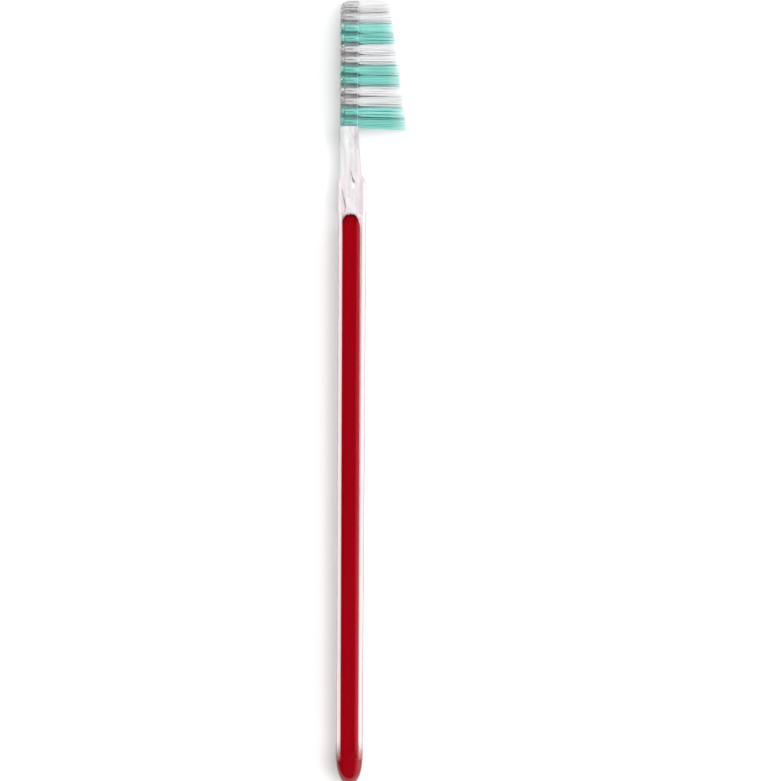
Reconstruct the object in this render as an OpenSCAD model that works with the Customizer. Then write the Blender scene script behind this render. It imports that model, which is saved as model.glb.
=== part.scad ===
// Manual toothbrush lying on one flat side of its grip.
// The head points towards +Y, the bristles towards +X, and the floor is Z = 0.
// A clear body is moulded over an opaque core. Each tuft of bristles is folded
// over a flat metal anchor at the bottom of its own hole in the head.

/* [Overall] */
// Length from the butt to the tip of the head
total_length = 188; // [165:1:210]

/* [Grip] */
// Width of the grip, from one flat side to the other
grip_width = 12.4; // [11.4:0.1:15]
// Depth of the grip beside the shoulder, back to front
grip_shoulder_depth = 6.85; // [6.2:0.05:8.5]
// Depth of the grip at the butt, back to front
grip_butt_depth = 6.4; // [6.1:0.05:8]
// Radius of the long edges of the grip and neck
grip_edge_radius = 1.9; // [1:0.1:2.4]
// Length of the rounded butt
butt_round_length = 8; // [7.5:0.5:12]
// Height above the butt where the clear body ends
rim_height = 5.8; // [4.5:0.1:6.5]
// How much higher the clear body ends at the front than at the back
rim_rise = 1.4; // [0:0.1:1.8]

/* [Neck] */
// Length of the neck, from the shoulder to the full width of the head
neck_length = 10.2; // [8:0.1:20]
// Width of the neck at its narrowest
neck_width = 5.8; // [4.5:0.1:8]
// Depth of the neck beside the shoulder, back to front
neck_depth = 5.1; // [4.2:0.1:6]
// How far the back of the neck and head lies in front of the back of the grip
neck_set_in = 0.4; // [0:0.1:0.8]
// Length of the step between grip and neck, seen from the side
shoulder_length = 3.1; // [1.5:0.1:6]
// Length over which the grip narrows to the neck, seen from the front
shoulder_taper_length = 16; // [8:0.5:20]

/* [Head] */
// Width of the head
head_width = 11.4; // [10.8:0.1:14]
// Depth of the head, back to bristle face
head_depth = 4.4; // [4.2:0.1:6]
// Length over which the neck widens to the head
head_flare_length = 6; // [3:0.1:7.5]
// From the centre of the first row to the tip of the head
tip_margin = 1.8; // [1.7:0.1:4]
// From the centre of the last row to where the head starts to narrow
heel_margin = 1.5; // [1.2:0.1:4]
// Radius of the edges around the back of the head
head_back_radius = 1.5; // [0.8:0.1:1.9]
// Radius of the edges around the bristle face
head_face_radius = 0.45; // [0.2:0.05:0.8]
// Radius that rounds the back of the head's tip, seen from the side
tip_back_radius = 1.9; // [1:0.1:2.4]

/* [Tufts] */
// Rows of tufts along the head
tuft_rows = 12; // [9:1:12]
// Distance between rows
row_pitch = 2.5; // [2.1:0.05:2.8]
// Distance between the outer tufts of a full row, as a share of the head's width
row_width_share = 0.618; // [0.58:0.002:0.64]
// Bore of each tuft's hole
hole_diameter = 1.8; // [1.4:0.05:1.9]
// Depth of each tuft's hole
hole_depth = 3.3; // [2.8:0.1:3.6]
// Bristle length above the head at the first row
tip_bristle_length = 7.7; // [5:0.1:12]
// Bristle length above the head at the last row
heel_bristle_length = 11.5; // [5:0.1:13]
// Thickness of one bristle strand, corner to corner
strand_thickness = 0.4; // [0.2:0.05:0.45]

/* [Core] */
// Width of the core, across the grip
core_width = 8.6; // [6:0.1:10]
// Depth of the core, back to front
core_depth = 4.4; // [3.4:0.1:4.8]
// Clear plastic behind the core
core_back_cover = 0.8; // [0.4:0.1:1]
// Length over which the core flares out to the clear body's rim
core_flare_length = 5.2; // [2:0.1:6]
// Length of the core's rounded nose
nose_length = 3.7; // [2:0.1:8]
// From the core's nose to the shoulder
nose_to_shoulder = 7; // [3:0.5:30]

/* [Anchors] */
// Length of an anchor, along its hole
anchor_length = 1.5; // [1:0.1:1.7]
// Thickness of an anchor's flat wire
anchor_thickness = 0.25; // [0.15:0.05:0.35]
// Bristle bundle that is folded under each anchor
fold_thickness = 0.45; // [0.2:0.05:0.6]
// Clearance around an anchor and around a tuft in its hole
fit_gap = 0.02; // [0.01:0.01:0.05]

/* [Hidden] */
// Tufts in the first, second, middle and last rows
first_row_tufts = 2;
second_row_tufts = 3;
middle_row_tufts = 4;
last_row_tufts = 3;
column_letters = "abcd";
// Two rows of one colour follow two of the other
rows_per_colour = 2;

// Strands in one tuft: a few near its middle and a ring of them near its edge
inner_strands = 3;
outer_strands = 8;
strand_sides = 3;
inner_place_share = 0.36;
outer_place_share = 0.98;
// How deep each strand is rooted in the bundle that fills the hole
strand_root = 0.3;
// Room left between the strands of neighbouring tufts at their tips
strand_tip_gap = 0.05;
// Each tuft is turned a little from the next
row_turn = 17;
column_turn = 29;

// How full a rounded end is: 2 is a circle or an ellipse
round_fullness = 2;
butt_fullness = 2.3;
nose_fullness = 2.2;
// The core's flare goes out with this power of the share of its length
flare_power = 2;
// An edge never takes more than this share of the section that it rounds
edge_limit_share = 0.49;

// Points on each of a section's four rounded edges, and on the whole section
arc_points = 6;
ring_points = 4 * arc_points;
// Rings in each stretch of the surfaces
butt_steps = 5;
flare_steps = 5;
nose_steps = 6;
straight_steps = 2;
grip_steps = 4;
taper_steps = 6;
shoulder_steps = 8;
neck_steps = 3;
head_flare_steps = 8;
tip_steps = 10;
round_facets = 32;
overrun = 1;

clear_colour = [0.93, 0.93, 0.96, 0.45];
core_colour = [0.64, 0.02, 0.07];
white_colour = [0.88, 0.88, 0.88];
green_colour = [0.51, 0.81, 0.77];
metal_colour = [0.72, 0.70, 0.66];

// Places along the brush, measured from the butt
head_length = tip_margin + (tuft_rows - 1) * row_pitch + heel_margin;
head_start = total_length - head_length;
head_flare_start = head_start - head_flare_length;
shoulder_top = head_start - neck_length;
shoulder_bottom = shoulder_top - shoulder_length;
taper_bottom = shoulder_top - shoulder_taper_length;
first_row_y = total_length - tip_margin;
last_row_y = first_row_y - (tuft_rows - 1) * row_pitch;
column_pitch = row_width_share * head_width / (middle_row_tufts - 1);
nose_tip = shoulder_bottom - nose_to_shoulder;
nose_start = nose_tip - nose_length;
rim_bottom = rim_height - rim_rise / 2;
rim_top = rim_height + rim_rise / 2;
flare_top = rim_height + core_flare_length;
tip_radius = head_width / 2;

// Places from the back of the grip towards the bristles
neck_front = neck_set_in + neck_depth;
face_x = neck_set_in + head_depth;
hole_floor_x = face_x - hole_depth;
anchor_x = hole_floor_x + fold_thickness;
core_middle_x = core_back_cover + core_depth / 2;
trim_slope = (tip_bristle_length - heel_bristle_length) / (first_row_y - last_row_y);
trim_start = face_x + heel_bristle_length - trim_slope * last_row_y;

// The bundle in a hole, and the circle that the strand tips keep inside
bundle_radius = hole_diameter / 2 - fit_gap;
strand_radius = strand_thickness / 2;
inner_place = inner_place_share * (bundle_radius - strand_radius);
outer_place = outer_place_share * (bundle_radius - strand_radius);
tip_reach = min(row_pitch, column_pitch) / 2 - strand_radius - strand_tip_gap;
spread_share = tip_reach / outer_place - 1;
anchor_width = 2 * sqrt(pow(bundle_radius, 2) - pow(anchor_thickness / 2, 2));

// The whole brush is centred over its outline, resting on the grip's side
front_reach = trim_at(last_row_y - tip_reach);
middle_z = max(grip_width, head_width) / 2;

function mix(a, b, t) = a + (b - a) * t;
function held(t) = max(0, min(1, t));
function eased(v, from, to) =
    let (t = held((v - from) / (to - from)))
    t * t * (3 - 2 * t);
// Share of its full size that a rounded end has at a depth in from its tip
function end_share(depth, length, fullness) =
    pow(1 - pow(1 - held(depth / length), fullness), 1 / fullness);
// Where the slanted trim of the bristles lies, above a place along the brush
function trim_at(y) = trim_start + trim_slope * y;

// Outline of the clear body seen from the side: its back and its front
function back_at(y) = neck_set_in * eased(y, shoulder_bottom, shoulder_top);
function front_at(y) =
    y < shoulder_bottom
        ? mix(grip_butt_depth, grip_shoulder_depth, y / shoulder_bottom)
        : y < shoulder_top
            ? mix(grip_shoulder_depth, neck_front, eased(y, shoulder_bottom, shoulder_top))
            : mix(neck_front, face_x, eased(y, shoulder_top, head_start));
// Its width seen from the front, before the ends are rounded
function width_at(y) =
    y < shoulder_top
        ? mix(grip_width, neck_width, eased(y, taper_bottom, shoulder_top))
        : mix(neck_width, head_width, eased(y, head_flare_start, head_start));

// A section is [back, front, half width, back edge radius, front edge radius]
function section_at(y) =
    let (
        from_tip = total_length - y,
        butt = end_share(y, butt_round_length, butt_fullness),
        middle = (back_at(y) + front_at(y)) / 2,
        back_round = tip_back_radius * (1 - end_share(from_tip, tip_back_radius, round_fullness)),
        face_round = head_face_radius * (1 - end_share(from_tip, head_face_radius, round_fullness)),
        back = mix(middle, back_at(y), butt) + back_round,
        front = mix(middle, front_at(y), butt) - face_round,
        half_width = width_at(y) / 2 * butt * end_share(from_tip, tip_radius, round_fullness),
        head = eased(y, head_flare_start, head_start),
        limit = edge_limit_share * min(front - back, 2 * half_width)
    )
    [
        back,
        front,
        half_width,
        min(limit, mix(grip_edge_radius, head_back_radius, head)),
        min(limit, mix(grip_edge_radius, head_face_radius, head))
    ];

// One point of a section's outline, as [x, z] from the middle of its width
function outline_point(section, k) =
    let (
        quadrant = floor(k / arc_points),
        angle = 90 * (quadrant + (k % arc_points) / (arc_points - 1)),
        at_front = quadrant == 0 || quadrant == 3,
        radius = at_front ? section[4] : section[3],
        centre_x = at_front ? section[1] - radius : section[0] + radius,
        centre_z = (quadrant < 2 ? 1 : -1) * (section[2] - radius)
    )
    [centre_x + radius * cos(angle), centre_z + radius * sin(angle)];

function body_ring(y) = [
    for (k = [0 : ring_points - 1])
        let (p = outline_point(section_at(y), k))
        [p[0], y, p[1]]
];

// The clear body ends in a rim that slants from the back up to the front
function rim_y(x) =
    let (section = section_at(rim_height))
    rim_height + rim_rise * ((x - section[0]) / (section[1] - section[0]) - 1 / 2);
rim_ring = [
    for (k = [0 : ring_points - 1])
        let (
            y = rim_y(outline_point(section_at(rim_height), k)[0]),
            p = outline_point(section_at(y), k)
        )
        [p[0], y, p[1]]
];

// The core's straight stem has fully rounded sides
core_edge_radius = edge_limit_share * min(core_depth, core_width);
core_section = [
    core_back_cover,
    core_back_cover + core_depth,
    core_width / 2,
    core_edge_radius,
    core_edge_radius
];
// A ring of the core at a share of the stem's size, about its own middle
function core_ring(y, share) = [
    for (k = [0 : ring_points - 1])
        let (p = outline_point(core_section, k))
        [mix(core_middle_x, p[0], share), y, p[1] * share]
];
// The stem flares ever wider towards the rim: a share of 1 is the rim itself
function flare_ring(share) =
    let (stem = core_ring(flare_top, 1), outward = pow(share, flare_power))
    [
        for (k = [0 : ring_points - 1])
            [
                mix(stem[k][0], rim_ring[k][0], outward),
                mix(stem[k][1], rim_ring[k][1], share),
                mix(stem[k][2], rim_ring[k][2], outward)
            ]
    ];
function nose_ring(angle) = core_ring(
    nose_start + nose_length * pow(sin(angle), 2 / nose_fullness),
    pow(cos(angle), 2 / nose_fullness)
);

// The surface where the core and the clear body meet, from the rim to the nose
shared_rings = concat(
    [for (i = [0 : flare_steps]) flare_ring(1 - i / flare_steps)],
    [for (i = [0 : nose_steps - 1]) nose_ring(90 * i / nose_steps)]
);
nose_point = [core_middle_x, nose_tip, 0];

// Rings of the butt below the rim, and of the clear body above it
butt_rings = [
    for (i = [1 : butt_steps])
        body_ring(rim_bottom * pow(i / (butt_steps + 1), 2))
];
butt_point = [(back_at(0) + front_at(0)) / 2, 0, 0];

function places(from, to, steps) = [for (i = [1 : steps]) mix(from, to, i / steps)];
body_places = concat(
    places(rim_top, butt_round_length, straight_steps),
    places(butt_round_length, taper_bottom, grip_steps),
    places(taper_bottom, shoulder_bottom, taper_steps),
    places(shoulder_bottom, shoulder_top, shoulder_steps),
    places(shoulder_top, head_flare_start, neck_steps),
    places(head_flare_start, head_start, head_flare_steps),
    places(head_start, total_length - tip_radius, straight_steps),
    [for (i = [1 : tip_steps - 1]) total_length - tip_radius * (1 - sin(90 * i / tip_steps))]
);
body_rings = [for (y = body_places) body_ring(y)];
tip_section = section_at(total_length);
tip_point = [(tip_section[0] + tip_section[1]) / 2, total_length, 0];

// Triangles between two rings, from their first points' numbers
function outer_faces(low, high) = [
    for (k = [0 : ring_points - 1])
        let (next = (k + 1) % ring_points)
        each [[low + k, low + next, high + next], [low + k, high + next, high + k]]
];
function inner_faces(low, high) = [for (f = outer_faces(low, high)) [f[2], f[1], f[0]]];
// Triangles from a ring to the point that closes it
function closing_faces(ring, point, at_top) = [
    for (k = [0 : ring_points - 1])
        let (next = (k + 1) % ring_points)
        at_top ? [point, ring + k, ring + next] : [point, ring + next, ring + k]
];
function flat_list(lists) = [for (list = lists) each list];

// The opaque core: the butt's outer surface, then the surface shared with the body
module core_solid() {
    rings = concat(butt_rings, shared_rings);
    last = len(rings) - 1;
    low_point = len(rings) * ring_points;
    high_point = low_point + 1;
    polyhedron(
        points = concat(flat_list(rings), [butt_point, nose_point]),
        faces = concat(
            closing_faces(0, low_point, false),
            [for (i = [0 : last - 1]) each outer_faces(i * ring_points, (i + 1) * ring_points)],
            closing_faces(last * ring_points, high_point, true)
        )
    );
}

// The clear body: its outer surface and the cavity that the core fills
module body_solid() {
    cavity_last = len(shared_rings) - 1;
    outer_first = len(shared_rings) * ring_points;
    outer_last = len(body_rings) - 1;
    cavity_point = outer_first + len(body_rings) * ring_points;
    outer_point = cavity_point + 1;
    polyhedron(
        points = concat(
            flat_list(shared_rings),
            flat_list(body_rings),
            [nose_point, tip_point]
        ),
        faces = concat(
            [for (i = [0 : cavity_last - 1]) each inner_faces(i * ring_points, (i + 1) * ring_points)],
            closing_faces(cavity_last * ring_points, cavity_point, false),
            outer_faces(0, outer_first),
            [
                for (i = [0 : outer_last - 1])
                    let (low = outer_first + i * ring_points)
                    each outer_faces(low, low + ring_points)
            ],
            closing_faces(outer_first + outer_last * ring_points, outer_point, true)
        )
    );
}

// Rows count from the tip, and columns across the head
function tufts_in(row) =
    row == 1 ? first_row_tufts
    : row == 2 ? second_row_tufts
    : row == tuft_rows ? last_row_tufts
    : middle_row_tufts;
function row_y(row) = first_row_y - (row - 1) * row_pitch;
function column_z(row, column) = (column - (tufts_in(row) - 1) / 2) * column_pitch;
function row_number(row) = str(row < 10 ? "0" : "", row);
function tuft_name(row, column) = str("tuft_", row_number(row), "_", column_letters[column]);
function anchor_name(row) = str("anchors_row_", row_number(row));
function is_green(row) = floor((row - 1) / rows_per_colour) % 2 == 1;

// A tuft is drawn about its own axis, from the face of the head.
// A strand stands at a distance from that axis, in a direction around it. It leans
// out in step with the distance, and ends on the slanted trim.
module strand(length, distance, direction) {
    lean = atan(distance * spread_share / length);
    corners = [
        for (i = [0 : strand_sides - 1])
            strand_radius * [cos(360 * i / strand_sides), sin(360 * i / strand_sides)]
    ];
    // The trim's slope away from the axis, and to the side of that
    out_slope = trim_slope * cos(direction);
    side_slope = -trim_slope * sin(direction);
    ends = [
        for (c = corners)
            (
                length + out_slope * (distance + c[0] * cos(lean))
                + side_slope * c[1] + c[0] * sin(lean)
            ) / (cos(lean) - out_slope * sin(lean))
    ];
    rotate([direction, 0, 0])
        translate([0, distance, 0])
        rotate([0, 0, lean])
        polyhedron(
            points = concat(
                [for (c = corners) [-strand_root, c[0], c[1]]],
                [for (i = [0 : strand_sides - 1]) [ends[i], corners[i][0], corners[i][1]]]
            ),
            faces = concat(
                [[for (i = [0 : strand_sides - 1]) i]],
                [[for (i = [0 : strand_sides - 1]) 2 * strand_sides - 1 - i]],
                [
                    for (i = [0 : strand_sides - 1])
                        let (next = (i + 1) % strand_sides)
                        each [
                            [i, strand_sides + i, strand_sides + next],
                            [i, strand_sides + next, next]
                        ]
                ]
            )
        );
}

// The bundle that fills a hole, with the slot that its anchor sits in
module bundle(turn) {
    difference() {
        translate([-hole_depth, 0, 0])
            rotate([0, 90, 0])
            rotate(turn)
            cylinder(r = bundle_radius, h = hole_depth, $fn = outer_strands);
        translate([
            fold_thickness - hole_depth - fit_gap,
            -anchor_thickness / 2 - fit_gap,
            -hole_diameter
        ])
            cube([
                anchor_length + 2 * fit_gap,
                anchor_thickness + 2 * fit_gap,
                2 * hole_diameter
            ]);
    }
}

module placed() {
    translate([-front_reach / 2, -total_length / 2, middle_z])
        children();
}

module clear_handle() {
    color(clear_colour)
        placed()
        difference() {
            body_solid();
            for (row = [1 : tuft_rows])
                for (column = [0 : tufts_in(row) - 1])
                    translate([hole_floor_x, row_y(row), column_z(row, column)])
                        rotate([0, 90, 0])
                        cylinder(d = hole_diameter, h = hole_depth + overrun, $fn = round_facets);
        }
}

module red_core() {
    color(core_colour)
        placed()
        core_solid();
}

module tuft(row, column) {
    length = trim_at(row_y(row)) - face_x;
    turn = row * row_turn + column * column_turn;
    color(is_green(row) ? green_colour : white_colour)
        placed()
        translate([face_x, row_y(row), column_z(row, column)]) {
            bundle(turn);
            for (i = [0 : inner_strands - 1])
                strand(length, inner_place, turn + 360 * i / inner_strands);
            for (i = [0 : outer_strands - 1])
                strand(length, outer_place, turn + 360 * i / outer_strands);
        }
}

// The anchors of one row: flat pieces of wire, each across its own hole
module anchors_row(row) {
    color(metal_colour)
        placed()
        for (column = [0 : tufts_in(row) - 1])
            translate([
                anchor_x,
                row_y(row) - anchor_thickness / 2,
                column_z(row, column) - anchor_width / 2
            ])
                cube([anchor_length, anchor_thickness, anchor_width]);
}

clear_handle();
red_core();
for (row = [1 : tuft_rows])
    for (column = [0 : tufts_in(row) - 1])
        tuft(row, column);
for (row = [1 : tuft_rows])
    anchors_row(row);
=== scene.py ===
"""Looks of a slim manual toothbrush that lies on one flat side of its grip, seen from straight above.

The clear body, the core and the tufts are rebuilt smoothly from the part's own values and formulas, in
millimetres: x from the back of the grip towards the bristles, y from the butt, z from the middle plane.
"""
import math

import bpy
import numpy as np
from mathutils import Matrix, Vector
from mathutils.geometry import delaunay_2d_cdt


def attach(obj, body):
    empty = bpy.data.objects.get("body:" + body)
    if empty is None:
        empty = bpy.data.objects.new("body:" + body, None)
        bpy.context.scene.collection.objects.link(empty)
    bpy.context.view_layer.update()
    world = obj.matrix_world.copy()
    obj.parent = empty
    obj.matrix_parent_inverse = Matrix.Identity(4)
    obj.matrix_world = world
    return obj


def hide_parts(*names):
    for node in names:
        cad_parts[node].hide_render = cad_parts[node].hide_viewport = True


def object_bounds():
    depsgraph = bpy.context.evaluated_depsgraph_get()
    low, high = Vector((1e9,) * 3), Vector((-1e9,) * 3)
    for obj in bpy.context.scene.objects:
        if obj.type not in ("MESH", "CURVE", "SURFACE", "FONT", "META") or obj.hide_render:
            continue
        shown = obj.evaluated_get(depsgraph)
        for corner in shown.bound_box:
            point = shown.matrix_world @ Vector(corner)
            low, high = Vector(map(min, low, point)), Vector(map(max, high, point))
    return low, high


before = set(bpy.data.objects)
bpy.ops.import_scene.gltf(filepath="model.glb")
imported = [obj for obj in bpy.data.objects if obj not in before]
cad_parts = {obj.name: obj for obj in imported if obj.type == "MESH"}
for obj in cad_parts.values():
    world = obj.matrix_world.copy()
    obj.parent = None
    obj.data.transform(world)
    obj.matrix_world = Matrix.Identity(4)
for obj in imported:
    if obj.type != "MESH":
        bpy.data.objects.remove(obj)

cad_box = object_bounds()
MM = 0.001

# Values of the part
TOTAL = 188.0
GRIP_WIDTH, GRIP_SHOULDER_DEPTH, GRIP_BUTT_DEPTH, GRIP_EDGE = 12.4, 6.85, 6.4, 1.9
BUTT_ROUND, RIM_HEIGHT, RIM_RISE = 8.0, 5.8, 1.4
NECK_LENGTH, NECK_WIDTH, NECK_DEPTH, NECK_SET_IN = 10.2, 5.8, 5.1, 0.4
SHOULDER_LENGTH, SHOULDER_TAPER = 3.1, 16.0
HEAD_WIDTH, HEAD_DEPTH, HEAD_FLARE, TIP_MARGIN, HEEL_MARGIN = 11.4, 4.4, 6.0, 1.8, 1.5
HEAD_BACK_EDGE, HEAD_FACE_EDGE, TIP_BACK = 1.5, 0.45, 1.9
ROWS, ROWS_PER_COLOUR, ROW_PITCH, ROW_WIDTH_SHARE = 12, 2, 2.5, 0.618
MIDDLE_TUFTS, TUFTS = 4, {1: 2, 2: 3, ROWS: 3}  # tufts in a middle row, and in the rows that have fewer
HOLE_DIAMETER, HOLE_DEPTH = 1.8, 3.3
TIP_BRISTLE, HEEL_BRISTLE, STRAND_RADIUS, STRAND_TIP_GAP = 7.7, 11.5, 0.2, 0.05
CORE_WIDTH, CORE_DEPTH, CORE_COVER, CORE_FLARE, FLARE_POWER = 8.6, 4.4, 0.8, 5.2, 2
NOSE_LENGTH, NOSE_TO_SHOULDER = 3.7, 7.0
NOSE_FULL, BUTT_FULL, ROUND_FULL, EDGE_LIMIT = 2.2, 2.3, 2.0, 0.49

HEAD_START = TOTAL - TIP_MARGIN - (ROWS - 1) * ROW_PITCH - HEEL_MARGIN
FLARE_START = HEAD_START - HEAD_FLARE
SHOULDER_TOP = HEAD_START - NECK_LENGTH
SHOULDER_BOTTOM = SHOULDER_TOP - SHOULDER_LENGTH
TAPER_BOTTOM = SHOULDER_TOP - SHOULDER_TAPER
FIRST_ROW = TOTAL - TIP_MARGIN
LAST_ROW = FIRST_ROW - (ROWS - 1) * ROW_PITCH
COLUMN_PITCH = ROW_WIDTH_SHARE * HEAD_WIDTH / (MIDDLE_TUFTS - 1)
NOSE_TIP = SHOULDER_BOTTOM - NOSE_TO_SHOULDER
NOSE_START = NOSE_TIP - NOSE_LENGTH
FLARE_TOP = RIM_HEIGHT + CORE_FLARE
TIP_RADIUS = HEAD_WIDTH / 2
FACE_TOP = TOTAL - HEAD_FACE_EDGE
NECK_FRONT = NECK_SET_IN + NECK_DEPTH
FACE = NECK_SET_IN + HEAD_DEPTH
CORE_MIDDLE = CORE_COVER + CORE_DEPTH / 2
HOLE_RADIUS = HOLE_DIAMETER / 2
HEEL_EDGE = LAST_ROW - 1.14 * HOLE_RADIUS  # just below the last holes, where the head's refraction begins
TRIM_SLOPE = (TIP_BRISTLE - HEEL_BRISTLE) / (FIRST_ROW - LAST_ROW)
TRIM_START = FACE + HEEL_BRISTLE - TRIM_SLOPE * LAST_ROW
TIP_REACH = min(ROW_PITCH, COLUMN_PITCH) / 2 - STRAND_RADIUS - STRAND_TIP_GAP
BOX_FRONT = TRIM_START + TRIM_SLOPE * (LAST_ROW - TIP_REACH)
SHIFT = np.array([-BOX_FRONT / 2, -TOTAL / 2, max(GRIP_WIDTH, HEAD_WIDTH) / 2])

ARC = 13  # points on each of a section's four rounded edges
RING = 4 * ARC
SLOPE_STEP, LEAST_STEP = 0.01, 1e-5  # how far apart the sections are that give a surface's slope
NEAR = 1e-6  # places closer than this are the same


def mix(a, b, t):
    return a + (b - a) * t


def held(t):
    return max(0.0, min(1.0, t))


def eased(v, low, high):
    t = held((v - low) / (high - low))
    return t * t * (3 - 2 * t)


def end_share(depth, length, fullness):
    """Share of its full size that a rounded end has at a depth in from its tip."""
    return (1 - (1 - held(depth / length)) ** fullness) ** (1 / fullness)


def back_at(y):
    return NECK_SET_IN * eased(y, SHOULDER_BOTTOM, SHOULDER_TOP)


def front_at(y):
    if y < SHOULDER_BOTTOM:
        return mix(GRIP_BUTT_DEPTH, GRIP_SHOULDER_DEPTH, y / SHOULDER_BOTTOM)
    if y < SHOULDER_TOP:
        return mix(GRIP_SHOULDER_DEPTH, NECK_FRONT, eased(y, SHOULDER_BOTTOM, SHOULDER_TOP))
    return mix(NECK_FRONT, FACE, eased(y, SHOULDER_TOP, HEAD_START))


def width_at(y):
    if y < SHOULDER_TOP:
        return mix(GRIP_WIDTH, NECK_WIDTH, eased(y, TAPER_BOTTOM, SHOULDER_TOP))
    return mix(NECK_WIDTH, HEAD_WIDTH, eased(y, FLARE_START, HEAD_START))


def section_at(y):
    """Back, front, half width, back edge radius and front edge radius of the clear body."""
    from_tip = TOTAL - y
    butt = end_share(y, BUTT_ROUND, BUTT_FULL)
    middle = (back_at(y) + front_at(y)) / 2
    back = mix(middle, back_at(y), butt) + TIP_BACK * (1 - end_share(from_tip, TIP_BACK, ROUND_FULL))
    front = mix(middle, front_at(y), butt) - HEAD_FACE_EDGE * (
        1 - end_share(from_tip, HEAD_FACE_EDGE, ROUND_FULL)
    )
    half = width_at(y) / 2 * butt * end_share(from_tip, TIP_RADIUS, ROUND_FULL)
    head = eased(y, FLARE_START, HEAD_START)
    limit = EDGE_LIMIT * min(front - back, 2 * half)
    return (
        back,
        front,
        half,
        min(limit, mix(GRIP_EDGE, HEAD_BACK_EDGE, head)),
        min(limit, mix(GRIP_EDGE, HEAD_FACE_EDGE, head)),
    )


def outline(section, k):
    """Point k of a section's outline as x and z, with its normal."""
    quadrant, step = divmod(k, ARC)
    angle = math.radians(90 * (quadrant + step / (ARC - 1)))
    at_front = quadrant in (0, 3)
    radius = section[4] if at_front else section[3]
    x = section[1] - radius if at_front else section[0] + radius
    z = (1 if quadrant < 2 else -1) * (section[2] - radius)
    return (
        x + radius * math.cos(angle),
        z + radius * math.sin(angle),
        math.cos(angle),
        math.sin(angle),
    )


def body_point(y, k):
    """A point of the clear body's outer surface and its normal."""
    x, z, nx, nz = outline(section_at(y), k)
    step = min(SLOPE_STEP, max(LEAST_STEP, (TOTAL - y) / 4), max(LEAST_STEP, y / 4))
    xa, za = outline(section_at(y - step), k)[:2]
    xb, zb = outline(section_at(y + step), k)[:2]
    ny = -(nx * (xb - xa) + nz * (zb - za)) / (2 * step)
    normal = np.array([nx, ny, nz])
    return np.array([x, y, z]), normal / np.linalg.norm(normal)


def rim_y(x):
    """Where the clear body ends above the butt, slanting from its back up to its front."""
    section = section_at(RIM_HEIGHT)
    return RIM_HEIGHT + RIM_RISE * ((x - section[0]) / (section[1] - section[0]) - 0.5)


RIM = [rim_y(outline(section_at(RIM_HEIGHT), k)[0]) for k in range(RING)]
CORE_EDGE = EDGE_LIMIT * min(CORE_DEPTH, CORE_WIDTH)
CORE_SECTION = (CORE_COVER, CORE_COVER + CORE_DEPTH, CORE_WIDTH / 2, CORE_EDGE, CORE_EDGE)


def core_ring(y, share):
    """A ring of the core at a share of the stem's size, about its own middle."""
    ring = []
    for k in range(RING):
        x, z = outline(CORE_SECTION, k)[:2]
        ring.append((mix(CORE_MIDDLE, x, share), y, z * share))
    return np.array(ring)


# Making objects
def placed(name, data):
    obj = bpy.data.objects.new(name, data)
    bpy.context.scene.collection.objects.link(obj)
    return obj


def make(name, points, faces, materials, indices=None, normals=None):
    """A mesh object from points in millimetres. normals has one for each corner of each face."""
    mesh = bpy.data.meshes.new(name)
    mesh.from_pydata((np.asarray(points) + SHIFT) * MM, [], [tuple(map(int, f)) for f in faces])
    for m in materials:
        mesh.materials.append(m)
    if indices is not None:
        mesh.polygons.foreach_set("material_index", indices)
    mesh.shade_smooth()
    if normals is not None:
        mesh.normals_split_custom_set([tuple(n) for n in normals])
    mesh.update()
    obj = placed(name, mesh)
    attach(obj, "root")
    return obj


def strip(low, high):
    """Faces between two closed rings of points, given by the number of their first points."""
    return [
        (low + k, high + k, high + (k + 1) % RING, low + (k + 1) % RING) for k in range(RING)
    ]


# Nodes of materials and of the world
NOISE_LOW, NOISE_HIGH = 0.3, 0.7  # most of a noise lies between these
NOISE_ROUGHNESS = 0.55
FULL_MARK = 0.3  # a mark is at its full strength within this share of its width


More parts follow.
